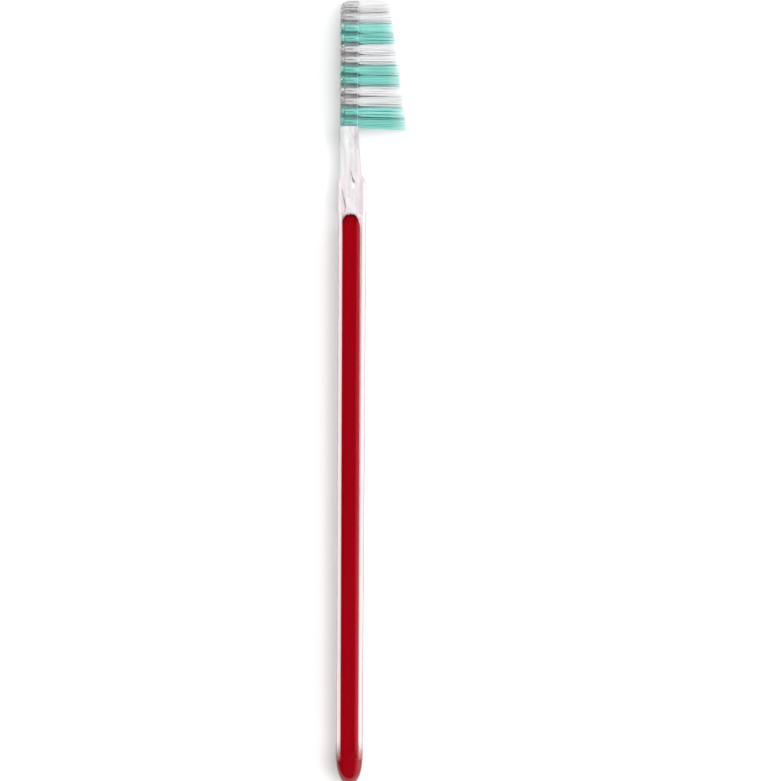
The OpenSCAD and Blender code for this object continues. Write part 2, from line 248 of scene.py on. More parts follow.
class Nodes:
    """A node tree, with short calls for the nodes that are used here."""

    def __init__(self, owner):
        owner.use_nodes = True
        self.tree = owner.node_tree
        self.coordinates = self.add("TexCoord").outputs
        self.place, self.normal = self.coordinates["Object"], self.coordinates["Normal"]

    def add(self, kind, inputs=None, **settings):
        node = self.tree.nodes.new("ShaderNode" + kind)
        for key, value in settings.items():
            setattr(node, key, value)
        for key, value in (inputs or {}).items():
            self.put(node.inputs[key], value)
        return node

    def put(self, socket, value):
        """Link a socket to another one, or give it a value of its own."""
        if isinstance(value, bpy.types.NodeSocket):
            self.tree.links.new(value, socket)
        elif hasattr(socket.default_value, "__len__") and len(value) == 3 and len(socket.default_value) == 4:
            socket.default_value = (*value, 1.0)
        else:
            socket.default_value = value

    def noise(self, scale, stretch=(1, 1, 1), detail=3.0):
        """Noise with `scale` cells a metre, stretched along the axes."""
        moved = self.add("Mapping", {"Vector": self.place, "Scale": tuple(1 / s for s in stretch)})
        settings = {"Scale": scale, "Detail": detail, "Roughness": NOISE_ROUGHNESS}
        return self.add("TexNoise", {"Vector": moved.outputs[0], **settings}).outputs["Fac"]

    def range(self, value, low, high, from_low=NOISE_LOW, from_high=NOISE_HIGH):
        """From low to high while a value goes from from_low to from_high."""
        return self.add(
            "MapRange",
            {"Value": value, "From Min": from_low, "From Max": from_high, "To Min": low, "To Max": high},
        ).outputs["Result"]

    def ramp(self, value, *stops):
        node = self.add("ValToRGB", {"Fac": value})
        elements = node.color_ramp.elements
        while len(elements) < len(stops):
            elements.new(0.5)
        for element, (at, colour) in zip(elements, stops):
            element.position, element.color = at, (*colour, 1)
        return node.outputs["Color"]

    def blend(self, factor, first, second, kind="MIX"):
        node = self.add("Mix", data_type="RGBA", blend_type=kind)
        for name, value in (("Factor_Float", factor), ("A_Color", first), ("B_Color", second)):
            self.put(next(s for s in node.inputs if s.identifier == name), value)
        return next(s for s in node.outputs if s.identifier == "Result_Color")

    def maths(self, operation, *values):
        return self.add("Math", dict(enumerate(values)), operation=operation).outputs[0]

    def times(self, first, *others):
        for other in others:
            first = self.maths("MULTIPLY", first, other)
        return first

    def across(self, axis, start, end, low=0.0, high=1.0):
        """From low to high between two places along an axis, in the part's millimetres."""
        shift = SHIFT["XYZ".index(axis)]
        place = self.add("SeparateXYZ", {0: self.place}).outputs[axis]
        return self.range(place, low, high, (start + shift) * MM, (end + shift) * MM)

    def wave(self, top, length, low, high):
        """A wave along the brush with a crest at `top`, both in millimetres from the butt."""
        y = self.add("SeparateXYZ", {0: self.place}).outputs["Y"]
        turn = 2 * math.pi / (length * MM)
        angle = self.maths("MULTIPLY_ADD", y, turn, -turn * (top + SHIFT[1]) * MM)
        return self.range(self.maths("COSINE", angle), low, high, -1.0, 1.0)

    def gap(self, start, end):
        """Distance from a line in the plane of x and y, which is given in the part's millimetres."""
        a, b = ((np.array([*v, 0.0]) + SHIFT) * MM * [1, 1, 0] for v in (start, end))
        along = tuple((b - a) / np.dot(b - a, b - a))
        flat = self.add("VectorMath", {0: self.place, 1: (1, 1, 0)}, operation="MULTIPLY").outputs[0]
        offset = self.add("VectorMath", {0: flat, 1: tuple(a)}, operation="SUBTRACT").outputs[0]
        t = self.add("VectorMath", {0: offset, 1: along}, operation="DOT_PRODUCT").outputs["Value"]
        near = self.add("VectorMath", {0: tuple(b - a)}, operation="SCALE")
        self.put(near.inputs["Scale"], self.range(t, 0.0, 1.0, 0.0, 1.0))
        return self.add("VectorMath", {0: offset, 1: near.outputs[0]}, operation="DISTANCE").outputs["Value"]

    def mark(self, start, end, width):
        """1 on a line in the plane of x and y, and 0 beyond its width."""
        return self.range(self.gap(start, end), 1.0, 0.0, FULL_MARK * width * MM, width * MM)

    def layered(self, first, second, share):
        node = self.add("MixShader", {0: share})
        self.put(node.inputs[1], first)
        self.put(node.inputs[2], second)
        return node.outputs[0]


class Looks(Nodes):
    """The nodes of a material."""

    def __init__(self, name):
        self.material = bpy.data.materials.new(name)
        super().__init__(self.material)
        self.main = self.tree.nodes["Principled BSDF"]

    def set(self, **inputs):
        for key, value in inputs.items():
            self.put(self.main.inputs[key.replace("_", " ")], value)

    def bump(self, height, strength, distance):
        node = self.add("Bump", {"Height": height, "Strength": strength, "Distance": distance})
        self.set(Normal=node.outputs["Normal"])

    def show(self, shader):
        self.tree.links.new(shader, self.tree.nodes["Material Output"].inputs["Surface"])


# Clear plastic: places of its looks, in millimetres, and its colours
def up(x, height):
    """A place above the tip of the core's nose."""
    return x, NOSE_TIP + height


GREEN_ROWS = FIRST_ROW - 2.5 * ROW_PITCH  # middle of the first pair of green rows
DARK_BAND = FIRST_ROW - 0.42 * ROW_PITCH  # below each row, where least light gets through
LIGHT_BAND = FIRST_ROW + 0.15 * ROW_PITCH  # where the back edge shows each tuft's end
BACK_EDGE = (2.0, 1.2)  # from where to where the back edge's haze comes in, towards the back
NOSE_BLEND = 0.3  # the looks change over this length on both sides of the nose's tip
NOSE_HALO = 1.15  # and beside the nose between its radius and this many times its radius
HANDLE_IOR, HEAD_IOR, HOLE_IOR = 1.03, 1.49, 1.25  # the handle shows its core at nearly its own width

LIGHT = (1.0, 1.0, 1.0)
MINT = (0.33, 0.86, 0.78)
HEAD_HAZE = (0.82, 0.78, 0.81)
# colours of the painted shade below white rows and below green rows
SHADE_BY_WHITE, SHADE_BY_GREEN = (0.85, 0.8, 0.82), (0.06, 0.42, 0.37)
MARKS_AND_PAINTED_LIGHT = (  # two ends as x and y, width, colour
    # painted reflection of the red core in the clear plastic beside it
    ((5.5, FLARE_TOP), (5.5, NOSE_START), 0.75, (0.78, 0.56, 0.56)),
    ((0.7, FLARE_TOP), (0.7, NOSE_START), 0.45, (1.0, 0.8, 0.84)),
    # the light along the neck's back and below the head, and the shade along the neck's front
    ((1.0, SHOULDER_TOP), (1.0, HEAD_START), 1.4, LIGHT),
    ((2.4, HEAD_START - 4.5), (2.4, HEAD_START), 2.4, LIGHT),
    ((4.7, SHOULDER_TOP), (4.7, HEAD_START), 1.3, (0.71, 0.66, 0.69)),
    # flow lines and spots above the nose; the white spot below the dark tick is a painted highlight
    (up(3.0, 10.1), up(3.5, 8.3), 0.22, (0.45, 0.45, 0.48)),
    (up(3.5, 8.3), up(3.8, 7.6), 0.36, (0.28, 0.28, 0.3)),
    (up(3.5, 6.6), up(3.7, 6.4), 0.4, LIGHT),
    (up(0.95, 5.7), up(1.45, 3.3), 0.24, (0.6, 0.57, 0.6)),
    (up(1.45, 3.3), up(1.85, 1.3), 0.28, (0.45, 0.42, 0.46)),
    (up(1.6, 0.7), up(1.7, 0.4), 0.4, (0.95, 0.6, 0.66)),
    (up(2.5, 4.3), up(2.6, 3.9), 0.5, (0.9, 0.76, 0.8)),
)
# pink beside the core's back and front edges is a painted reflection of the red core, darker towards the
# front
HAZE_COLOURS_WITH_CORE_REFLECTION = (  # the haze's colour at places from back to front
    (0.0, (0.98, 0.95, 0.97)),
    (0.45, (1.0, 0.95, 0.97)),
    (0.75, (1.0, 0.82, 0.86)),
    (1.3, (0.94, 0.9, 0.93)),
    (4.9, (0.87, 0.82, 0.86)),
    (5.5, (0.72, 0.56, 0.57)),
    (6.3, (0.66, 0.62, 0.64)),
    (6.85, (0.85, 0.82, 0.84)),
)
# Tints at values of a noise
GRIP_TINT = ((0.3, (0.68, 0.65, 0.68)), (0.5, (0.72, 0.69, 0.72)), (0.7, (0.77, 0.75, 0.77)))
# the tint is lighter where no core lies behind the plastic: painted light that makes up for the shadowed
# floor seen through there
NECK_TINT = ((0.3, (0.86, 0.84, 0.86)), (0.5, (0.9, 0.88, 0.9)), (0.7, (0.95, 0.94, 0.95)))
HEAD_TINT = ((0.3, (0.72, 0.74, 0.74)), (0.5, (0.82, 0.83, 0.83)), (0.7, (0.91, 0.91, 0.91)))
WHITE_TINT = ((0.3, (0.9, 0.87, 0.88)), (0.7, (0.98, 0.96, 0.97)))
GREEN_TINT = ((0.3, (0.7, 0.95, 0.92)), (0.7, (0.88, 1.0, 0.98)))


def clear_plastic(name, ior, tint, haze=None, shade=0.93, coat=0.8, waves=260, wavy=0.12):
    """Clear plastic that lets the lamps through, so that what is inside is lit.

    From the material's nodes, tint makes its colour, and haze the share and the colour of its hazy places.
    A surface lets the share `shade` of a lamp's light through. Its bumps are `waves` to a metre.
    """
    m = Looks(name)
    m.set(
        Base_Color=tint(m),
        Roughness=m.range(m.noise(900, stretch=(1, 5, 1)), 0.0, 0.05),
        IOR=ior,
        Transmission_Weight=1.0,
        Coat_Weight=coat,
        Coat_Roughness=0.02,
        Coat_IOR=1.5,
    )
    m.bump(m.noise(waves, stretch=(1, 8, 1), detail=2.0), strength=wavy, distance=0.0004)
    shader = m.main.outputs[0]
    if haze:
        share, colour = haze(m)
        shader = m.layered(shader, m.add("BsdfDiffuse", {"Color": colour}).outputs[0], share)
    lit = m.add("BsdfTransparent", {"Color": (shade, shade, shade)}).outputs[0]
    m.show(m.layered(shader, lit, m.add("LightPath").outputs["Is Shadow Ray"]))
    return m.material


def cloudy(m, stops):
    """A tint that varies in long, faint clouds."""
    return m.ramp(m.noise(180, stretch=(1, 6, 1)), *stops)


def with_marks_and_painted_light(m, colour, marks):
    """Flow lines and other marks over a colour, with painted light, shade, highlights and reflection among
    them.
    """
    for start, end, width, mark_colour in marks:
        colour = m.blend(m.mark(start, end, width), colour, mark_colour)
    return colour


def rounded(m, low, high):
    """1 on rounded edges, where a surface's own normal is turned both to a side and to the top or bottom."""
    normal = m.add("SeparateXYZ", {0: m.normal}).outputs
    turned = m.times(*(m.maths("ABSOLUTE", normal[axis]) for axis in "XZ"))
    return m.range(turned, 0.0, 1.0, low, high)


def beside_green(m):
    """How green the head is at a place from the tufts inside it."""
    below_tip = m.across("Y", FIRST_ROW + 0.5 * ROW_PITCH, FIRST_ROW)
    return m.times(m.wave(GREEN_ROWS, 2 * ROWS_PER_COLOUR * ROW_PITCH, -0.8, 1.8), below_tip)


def above_core(m):
    """1 above the core's nose, and beside it on the flat sides, where the core isn't behind the plastic."""
    radius = CORE_DEPTH / 2
    off_axis = m.gap((CORE_MIDDLE, FLARE_TOP), (CORE_MIDDLE, NOSE_TIP - radius))
    beside = m.range(off_axis, 0.0, 1.0, radius * MM, NOSE_HALO * radius * MM)
    along_nose = m.across("Y", NOSE_START, NOSE_TIP)
    sideways = m.maths("ABSOLUTE", m.add("SeparateXYZ", {0: m.normal}).outputs["Z"])
    beside = m.times(beside, along_nose, m.range(sideways, 0.0, 1.0, 0.8, 0.95))
    return m.maths("MAXIMUM", beside, m.across("Y", NOSE_TIP - NOSE_BLEND, NOSE_TIP + NOSE_BLEND))


def handle_tint(m):
    return with_marks_and_painted_light(m, m.blend(above_core(m), cloudy(m, GRIP_TINT), cloudy(m, NECK_TINT)), MARKS_AND_PAINTED_LIGHT)


def handle_haze(m):
    """Haze along the rounded edges, and in streaks above the nose of the core."""
    from_back = m.across("X", 0.0, GRIP_SHOULDER_DEPTH)
    colour = m.ramp(from_back, *((x / GRIP_SHOULDER_DEPTH, colour) for x, colour in HAZE_COLOURS_WITH_CORE_REFLECTION))
    above_rim = m.across("Y", RIM_HEIGHT, FLARE_TOP)
    less_on_neck = m.across("Y", SHOULDER_TOP, SHOULDER_BOTTOM, 0.5, 0.8)
    edges = m.times(above_rim, rounded(m, 0.37, 0.46), less_on_neck)
    streaks = m.times(m.range(m.noise(700, stretch=(1, 14, 1)), 0.32, 0.56), above_core(m))
    return m.maths("MAXIMUM", edges, streaks), with_marks_and_painted_light(m, colour, MARKS_AND_PAINTED_LIGHT)


def head_tint(m):
    """Painted shade below each row, in that row's colour."""
    band = m.times(m.wave(DARK_BAND, ROW_PITCH, -0.35, 0.95), m.range(m.noise(1300), 0.6, 1.3))
    dark = m.blend(beside_green(m), SHADE_BY_WHITE, SHADE_BY_GREEN)
    return m.blend(band, cloudy(m, HEAD_TINT), dark, "MULTIPLY")


def head_haze(m):
    """A thin haze, thinner below each row as painted shade, with a spot at each tuft's end along the back
    edge.
    """
    spots = m.times(m.wave(LIGHT_BAND, ROW_PITCH, -0.2, 1.1), m.across("X", *BACK_EDGE))
    broken = m.range(m.noise(1100, stretch=(1, 1, 2)), 0.0, 1.0, 0.4, 0.6)
    spots = m.range(m.times(spots, broken), 0.08, 0.85, 0.0, 1.0)
    edges = m.times(rounded(m, 0.2, 0.45), spots)
    share = m.maths("MAXIMUM", edges, m.wave(DARK_BAND, ROW_PITCH, 0.2, 0.1))
    return share, m.blend(beside_green(m), HEAD_HAZE, MINT)


def hole_plastic(name, stops):
    """The wall of a hole, which the bundle of bristles almost touches."""
    return clear_plastic(
        name, HOLE_IOR, lambda m: cloudy(m, stops), shade=1.0, coat=0.0, waves=1300, wavy=0.5
    )


CLEAR_GRIP = clear_plastic("clear_grip", HANDLE_IOR, handle_tint, handle_haze)
CLEAR_NECK = clear_plastic("clear_neck", HANDLE_IOR, handle_tint, handle_haze, shade=0.15)
CLEAR_HEAD = clear_plastic(
    "clear_head", HEAD_IOR, head_tint, head_haze, shade=0.92, coat=0.5, waves=500, wavy=0.3
)
HOLE_WHITE = hole_plastic("hole_by_white", WHITE_TINT)
HOLE_GREEN = hole_plastic("hole_by_green", GREEN_TINT)

# Red plastic: its colours at places from back to front, with painted light and a painted highlight on the
# core, and marks on the core
RED_OUTSIDE = (
    (0.0, (0.22, 0.0003, 0.004)),
    (3.0, (0.24, 0.0003, 0.005)),
    (6.0, (0.235, 0.0003, 0.005)),
)
# lighter towards the back: painted light that evens out the lamps' fall-off across the rounded core; and a
# painted highlight by the front edge
RED_BEHIND_CLEAR_WITH_PAINTED_LIGHT = (
    (0.8, (0.4, 0.0003, 0.005)),
    (2.0, (0.37, 0.0003, 0.006)),
    (3.4, (0.3, 0.0003, 0.005)),
    (4.3, (0.27, 0.0003, 0.005)),
    (4.7, (0.35, 0.014, 0.027)),
    (5.2, (0.36, 0.03, 0.04)),
)
DEEP_RED, DARK_RED, HIGHLIGHT_SPECK = (0.1, 0.0, 0.002), (0.14, 0.0, 0.002), (0.9, 0.8, 0.82)
# the light on the flare is painted light over its shade, and the two specks are painted highlights
CORE_MARKS_AND_PAINTED_LIGHT = (  # light on the front of the flare, then a dark arc and two specks of light at the nose's tip
    ((3.4, RIM_HEIGHT + 0.8), (4.4, RIM_HEIGHT + 1.2), 1.4, (0.34, 0.002, 0.008)),
    (up(1.5, -1.5), up(2.3, -0.5), 0.3, DARK_RED),
    (up(2.3, -0.5), up(3.7, -0.3), 0.3, DARK_RED),
    (up(3.7, -0.3), up(4.6, -1.5), 0.3, DARK_RED),
    (up(2.5, -0.25), up(2.65, -0.2), 0.16, HIGHLIGHT_SPECK),
    (up(3.3, -0.15), up(3.4, -0.15), 0.14, HIGHLIGHT_SPECK),
)


def red_plastic(name, gloss, rough, colours, marks=()):
    """Red plastic, with its colour at places from back to front, which can hold painted light and a painted
    highlight. The clear one over it spreads the light.
    """
    m = Looks(name)
    start, end = colours[0][0], colours[-1][0]
    stops = (((x - start) / (end - start), colour) for x, colour in colours)
    red = m.ramp(m.across("X", start, end), *stops)
    red = m.blend(m.range(m.noise(120, stretch=(1, 9, 1), detail=4.0), 0.0, 0.16), red, DEEP_RED)
    m.set(
        Base_Color=with_marks_and_painted_light(m, red, marks),
        Roughness=m.range(m.noise(700, stretch=(1, 4, 1)), rough, 1.6 * rough),
        Specular_IOR_Level=gloss,
    )
    m.bump(m.noise(420, stretch=(1, 3, 1)), strength=0.08, distance=0.0003)
    return m.material


RED = red_plastic("red_gloss", gloss=0.45, rough=0.07, colours=RED_OUTSIDE)
RED_INSIDE = red_plastic("red_inside", gloss=0.0, rough=0.3, colours=RED_BEHIND_CLEAR_WITH_PAINTED_LIGHT, marks=CORE_MARKS_AND_PAINTED_LIGHT)

# Nylon: its colours deep in the hole, darker there as painted shade, above it, and at the tip, and of the
# filaments that differ most
WHITE_NYLON = (0.9, 0.88, 0.89), (0.97, 0.96, 0.97), (0.99, 0.99, 0.99), (0.84, 0.9, 0.89)
GREEN_NYLON = (0.34, 0.85, 0.8), (0.4, 0.86, 0.81), (0.95, 0.99, 0.985), (0.56, 0.88, 0.84)
ROOT_SHARE = 0.2  # share of a filament's colours that lies in the hole
GLOW = 0.45  # share of the light that goes through a filament
PALE = 0.45  # how much of the tip's colour the end of the middle has
MOST_UNLIKE = 0.45  # how far the filament that differs most is multiplied by the colour of unlike ones


def nylon(name, root, middle, tip, unlike):
    """Nylon filaments: darker in the hole as painted shade, paler towards the trimmed ends partly from fading
    dye and partly as painted light, a little unlike one another.
    """
    m = Looks(name)
    along = m.add("Attribute", attribute_name="along").outputs["Fac"]
    own = m.add("Attribute", attribute_name="own").outputs["Fac"]
    pale = tuple(mix(a, b, PALE) for a, b in zip(middle, tip))
    base = m.ramp(along, (0.0, root), (1.1 * ROOT_SHARE, middle), (0.72, middle), (0.88, pale), (1.0, tip))
    base = m.blend(m.range(own, 0.0, MOST_UNLIKE, 0.0, 1.0), base, unlike, "MULTIPLY")
    base = m.blend(m.range(m.noise(900, stretch=(6, 1, 1)), 0.0, 0.2), base, LIGHT)
    m.set(
        Base_Color=base,
        Roughness=m.range(m.noise(2500, stretch=(3, 1, 1)), 0.28, 0.5),
        Specular_IOR_Level=0.4,
    )
    m.bump(m.noise(4000, stretch=(8, 1, 1), detail=2.0), strength=0.15, distance=0.00005)
    through = m.add("BsdfTranslucent", {"Color": base}).outputs[0]
    m.show(m.layered(m.main.outputs[0], through, GLOW))
    return m.material


WHITE = nylon("white_nylon", *WHITE_NYLON)
GREEN = nylon("green_nylon", *GREEN_NYLON)


def anchor_metal():
    """Drawn wire, with fine lines along it."""
    m = Looks("anchor_wire")
    m.set(
        Base_Color=m.ramp(
            m.noise(2200, stretch=(1, 1, 5)), (0.3, (0.6, 0.59, 0.56)), (0.7, (0.78, 0.76, 0.72))
        ),
        Metallic=1.0,
        Roughness=m.range(m.noise(3000, stretch=(1, 1, 8)), 0.25, 0.45),
    )
    m.bump(m.noise(5000, stretch=(1, 1, 9)), strength=0.2, distance=0.00005)
    return m.material


def floor_material():
    m = Looks("pale_floor")
    m.set(
        Base_Color=m.ramp(m.noise(9), (0.3, (0.81, 0.812, 0.81)), (0.7, (0.825, 0.827, 0.825))),
        Roughness=m.range(m.noise(60), 0.55, 0.65),
        Specular_IOR_Level=0.2,
    )
    m.bump(m.noise(1500), strength=0.02, distance=0.0002)
    return m.material


# Core
BUTT_RINGS, FLARE_RINGS, STEM_RINGS, NOSE_RINGS = 16, 16, 23, 21
RIM_RING = BUTT_RINGS  # rings below this one are the butt's outer surface, and the rim's ring is there twice


def core():
    """The opaque core: rounded butt, flare up to the rim, straight stem and bullet nose."""
    rings = []
    for i in range(1, BUTT_RINGS + 1):
        y = min(RIM) * (i / (BUTT_RINGS + 1)) ** 2
        rings.append(np.array([body_point(y, k)[0] for k in range(RING)]))
    rim = np.array([body_point(RIM[k], k)[0] for k in range(RING)])
    rings += [rim, rim]
    stem = core_ring(FLARE_TOP, 1)
    for share in np.linspace(1, 0, FLARE_RINGS + 1)[1:]:
        outward = share**FLARE_POWER
        rings.append(mix(stem, rim, np.array([outward, share, outward])))
    for y in np.linspace(FLARE_TOP, NOSE_START, STEM_RINGS + 1)[1:]:
        rings.append(core_ring(y, 1))
    for i in range(1, NOSE_RINGS + 1):
        a = math.radians(90 * i / (NOSE_RINGS + 1))
        y = NOSE_START + NOSE_LENGTH * math.sin(a) ** (2 / NOSE_FULL)
        rings.append(core_ring(y, math.cos(a) ** (2 / NOSE_FULL)))
    return rings


def closed_core(rings):
    points = np.vstack([*rings, [[(back_at(0) + front_at(0)) / 2, 0, 0], [CORE_MIDDLE, NOSE_TIP, 0]]])
    low, high = len(points) - 2, len(points) - 1
    faces = []
    for i in range(len(rings) - 1):
        if i != RIM_RING:
            faces += strip(i * RING, (i + 1) * RING)
    last = (len(rings) - 1) * RING
    for k in range(RING):
        n = (k + 1) % RING
        faces.append((low, k, n))
        faces.append((high, last + n, last + k))
    return points, faces


core_rings = core()
core_points, core_faces = closed_core(core_rings)
on_butt = [int(min(f) < RIM_RING * RING) for f in core_faces]
red = make("core_smooth", core_points, core_faces, [RED_INSIDE, RED], on_butt)
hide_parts("red_core")

# Clear body
GRIP, HEAD, BY_WHITE, BY_GREEN, NECK = range(5)
BODY_MATERIALS = [CLEAR_GRIP, CLEAR_HEAD, HOLE_WHITE, HOLE_GREEN, CLEAR_NECK]
SLANTED_RINGS, LEVEL_FROM, FIRST_LEVEL = 4, 9.0, 9.2  # rings above the rim go over from its slant to level
TIP_RINGS, HOLE_SIDES = 30, 40
STRETCHES = (  # ends and number of rings
    (FIRST_LEVEL, TAPER_BOTTOM, 26),
    (TAPER_BOTTOM, NOSE_TIP, 9),
    (NOSE_TIP, SHOULDER_BOTTOM, 11),
    (SHOULDER_BOTTOM, SHOULDER_TOP, 22),
    (SHOULDER_TOP, FLARE_START, 8),
    (FLARE_START, HEAD_START, 22),
    (HEAD_START, TOTAL - TIP_RADIUS, 12),
)
SUNK = 0.06  # how deep the cavity's wall lies in the core, so that light meets the core first
WALL_REACH = 9.0  # more than the wall is from the core's axis, as Blender holds the parts of a normal to 1
OUT, DOWN = np.array([1.0, 0.0, 0.0]), np.array([0.0, -1.0, 0.0])


def holes():
    """Each hole's place along the brush and across it, its row and its column."""
    for row in range(1, ROWS + 1):
        tufts = TUFTS.get(row, MIDDLE_TUFTS)
        for column in range(tufts):
            across = (column - (tufts - 1) / 2) * COLUMN_PITCH
            yield FIRST_ROW - (row - 1) * ROW_PITCH, across, row, column


HOLES = list(holes())


def is_green(row):
    """The colour changes every two rows, from white at the tip."""
    return (row - 1) // ROWS_PER_COLOUR % 2 == 1


class Surface:
    """Points with normals, and faces with the number of a material and a normal at each corner."""

    def __init__(self):
        self.points, self.normals = [], []
        self.faces, self.kinds, self.corners = [], [], []

    def add(self, point, normal=None):
        self.points.append(point)
        self.normals.append(normal)
        return len(self.points) - 1

    def face(self, ids, kind, normals=None):
        self.faces.append(ids)
        self.kinds.append(kind)
        self.corners += normals or [self.normals[i] for i in ids]


def body_places():
    """Places of the clear body's level rings."""
    places = {HEEL_EDGE, FACE_TOP}
    for start, end, count in STRETCHES:
        places.update(np.linspace(start, end, count))
    for i in range(TIP_RINGS):
        places.add(TOTAL - TIP_RADIUS * (1 - math.sin(math.radians(90 * i / TIP_RINGS))))
    return sorted({round(float(y), 5) for y in places})


def body_rings(surface):
    """Rings of points up the clear body's outside, each with its lowest place."""
    slants = [[mix(rim, LEVEL_FROM, i / SLANTED_RINGS) for rim in RIM] for i in range(SLANTED_RINGS)]
    levels = [[y] * RING for y in body_places()]
    return [
        (min(ys), [surface.add(*body_point(y, k)) for k, y in enumerate(ys)])
        for ys in slants + levels
    ]


def body_sides(surface, rings):
    """The outside apart from the flat bristle face, whose border comes back."""
    left, right = 0, RING - 1  # the flat front lies between these two points
    for (y, low), (next_y, high) in zip(rings, rings[1:]):
        on_face = y > HEAD_START - NEAR and next_y < FACE_TOP + NEAR
        kind = HEAD if y > HEEL_EDGE - NEAR else NECK if y > NOSE_TIP - NEAR else GRIP
        for k in range(RING):
            n = (k + 1) % RING
            if not (on_face and k == right):
                surface.face((low[k], high[k], high[n], low[n]), kind)
    last = rings[-1][1]
    tip = section_at(TOTAL)
    top = surface.add(np.array([(tip[0] + tip[1]) / 2, TOTAL, 0]), -DOWN)
    for k in range(RING):
        surface.face((top, last[(k + 1) % RING], last[k]), HEAD)
    beside_face = [ring for y, ring in rings if HEAD_START - NEAR < y < FACE_TOP + NEAR]
    return [ring[left] for ring in beside_face] + [ring[right] for ring in beside_face[::-1]]


def bristle_face(surface, border):
    """The flat face of the head, open at each hole. The rings of points at the holes come back."""
    turns = [2 * math.pi * s / HOLE_SIDES for s in range(HOLE_SIDES)]
    circle = [HOLE_RADIUS * np.array([0, math.cos(a), math.sin(a)]) for a in turns]
    loops = [[surface.add(np.array([FACE, y, z]) + p) for p in circle] for y, z, _, _ in HOLES]
    ids = border + [i for loop in loops for i in loop]
    flat = [Vector(surface.points[i][1:]) for i in ids]
    edges = []
    for loop in (border, *loops):
        start = len(edges)
        edges += [(start + s, start + (s + 1) % len(loop)) for s in range(len(loop))]
    _, _, cells, _, _, _ = delaunay_2d_cdt(flat, edges, [], 0, 1e-7)
    centres = np.array([(y, z) for y, z, _, _ in HOLES])
    for cell in cells:
        middle = np.mean([flat[i] for i in cell], axis=0)
        if np.min(np.hypot(*(centres - middle).T)) < 0.99 * HOLE_RADIUS:
            continue
        a, b, c = (np.array(flat[i]) for i in cell[:3])
        turn = (b - a)[0] * (c - a)[1] - (b - a)[1] * (c - a)[0]
        cell = list(cell) if turn > 0 else list(cell)[::-1]
        surface.face(tuple(ids[i] for i in cell), HEAD, [OUT] * len(cell))
    return loops


def hole_walls(surface, loops):
    for loop, (y, z, row, _) in zip(loops, HOLES):
        kind = BY_GREEN if is_green(row) else BY_WHITE
        inward = [(np.array([FACE, y, z]) - surface.points[i]) / HOLE_RADIUS for i in loop]
        bottom = [surface.add(surface.points[i] - HOLE_DEPTH * OUT) for i in loop]
        for s in range(HOLE_SIDES):
            n = (s + 1) % HOLE_SIDES
            normals = [inward[s], inward[n], inward[n], inward[s]]
            surface.face((loop[s], loop[n], bottom[n], bottom[s]), kind, normals)
        surface.face(tuple(bottom), kind, [OUT] * HOLE_SIDES)


def cavity(surface, rim):
    """The wall of the cavity, just under the core's surface, from the clear body's rim."""
    middle = np.array([CORE_MIDDLE, 0, 0])
    across = np.array([1, 0, 1])
    rings = [rim]
    for ring in core_rings[RIM_RING + 2 :]:
        offset = (ring - middle) * across
        size = np.linalg.norm(offset, axis=1, keepdims=True)
        sunk = ring - offset / size * np.minimum(SUNK, size / 2) + SUNK * DOWN
        rings.append([surface.add(point) for point in sunk])
    for low, high in zip(rings, rings[1:]):
        for k in range(RING):
            n = (k + 1) % RING
            quad = (low[k], low[n], high[n], high[k])
            inward = [(middle - surface.points[i]) * across / WALL_REACH for i in quad]
            surface.face(quad, GRIP, inward)
    end = surface.add(np.array([CORE_MIDDLE, NOSE_TIP - 2 * SUNK, 0]))
    for k in range(RING):
        surface.face((end, rings[-1][k], rings[-1][(k + 1) % RING]), GRIP, [DOWN] * 3)


def clear_body():
    """Outer surface, bristle face with its holes, and the wall of the cavity."""
    surface = Surface()
    rings = body_rings(surface)
    border = body_sides(surface, rings)
    hole_walls(surface, bristle_face(surface, border))
    cavity(surface, rings[0][1])
    return make(
        "clear_body", surface.points, surface.faces,
        BODY_MATERIALS, surface.kinds, surface.corners,
    )


body = clear_body()
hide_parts("clear_handle")

# Tufts
FILAMENTS, FILAMENT_RADIUS, SIDES = 44, 0.1, 6
END_SIZE = 0.62  # of a filament's rounded end
SEED, TURN = 1000, 6.28
GOLDEN_ANGLE = 2.39996  # from one filament to the next round the bundle, which packs them evenly
PACKED_REACH, SPREAD_REACH = 0.76, 1.3  # of the filaments' middles from the axis, at the face and the tips
PACKED_STRAY, OWN_LEAN, TUFT_LEAN, BOW, LENGTH_STRAY = 0.012, 0.1, 0.05, 0.07, 0.05
ROW_LEAN = {1: 0.35, ROWS: -0.3}  # how far the tips of the first and last rows lean away from the others
SPREAD_POWER, LEAN_POWER = 0.16, 1.5  # a tuft spreads most near the face, and leans most near its tips
ANCHOR_SIDE, HOLE_REACH = 0.235, 0.78  # of the filaments' middles, nearest to and farthest from the axis
PARTED_FROM, PARTED_TO = 1.1, 1.4  # depths between which the filaments part to pass the anchor
FOLD_FROM, FOLD_TO, FOLD_PINCH = 2.3, 3.12, 0.2  # depths between which they close up again under it
DEPTHS = (FOLD_TO, 2.9, FOLD_FROM, PARTED_TO, PARTED_FROM, 0.0)
SHARES = (0.04, 0.1, 0.2, 0.4, 0.6, 0.8, 0.97, 1.0)  # of a filament's length above the face
LEVELS = len(DEPTHS) + len(SHARES)
END_V, END_V_STEP, END_U = 0.995, 0.01, 0.35  # where the filaments' ends lie in the texture


def packed_places(rng):
    """Middles of a tuft's filaments at the face, as y and z from its axis."""
    spot = np.arange(FILAMENTS) + 0.5
    angle = spot * GOLDEN_ANGLE + rng.uniform(0, TURN)
    radius = PACKED_REACH * np.sqrt(spot / FILAMENTS)
    places = np.column_stack([radius * np.cos(angle), radius * np.sin(angle)])
    return places + rng.normal(0, PACKED_STRAY, places.shape)


def parted(packed):
    """The same beside the anchor, on both sides of its wire and within the hole."""
    side = np.sign(packed[:, 0] + 1e-9)
    places = np.column_stack([side * np.maximum(np.abs(packed[:, 0]), ANCHOR_SIDE), packed[:, 1]])
    places *= np.minimum(1, HOLE_REACH / np.hypot(*places.T)[:, None])
    places[:, 0] = side * np.maximum(np.abs(places[:, 0]), ANCHOR_SIDE)
    return places


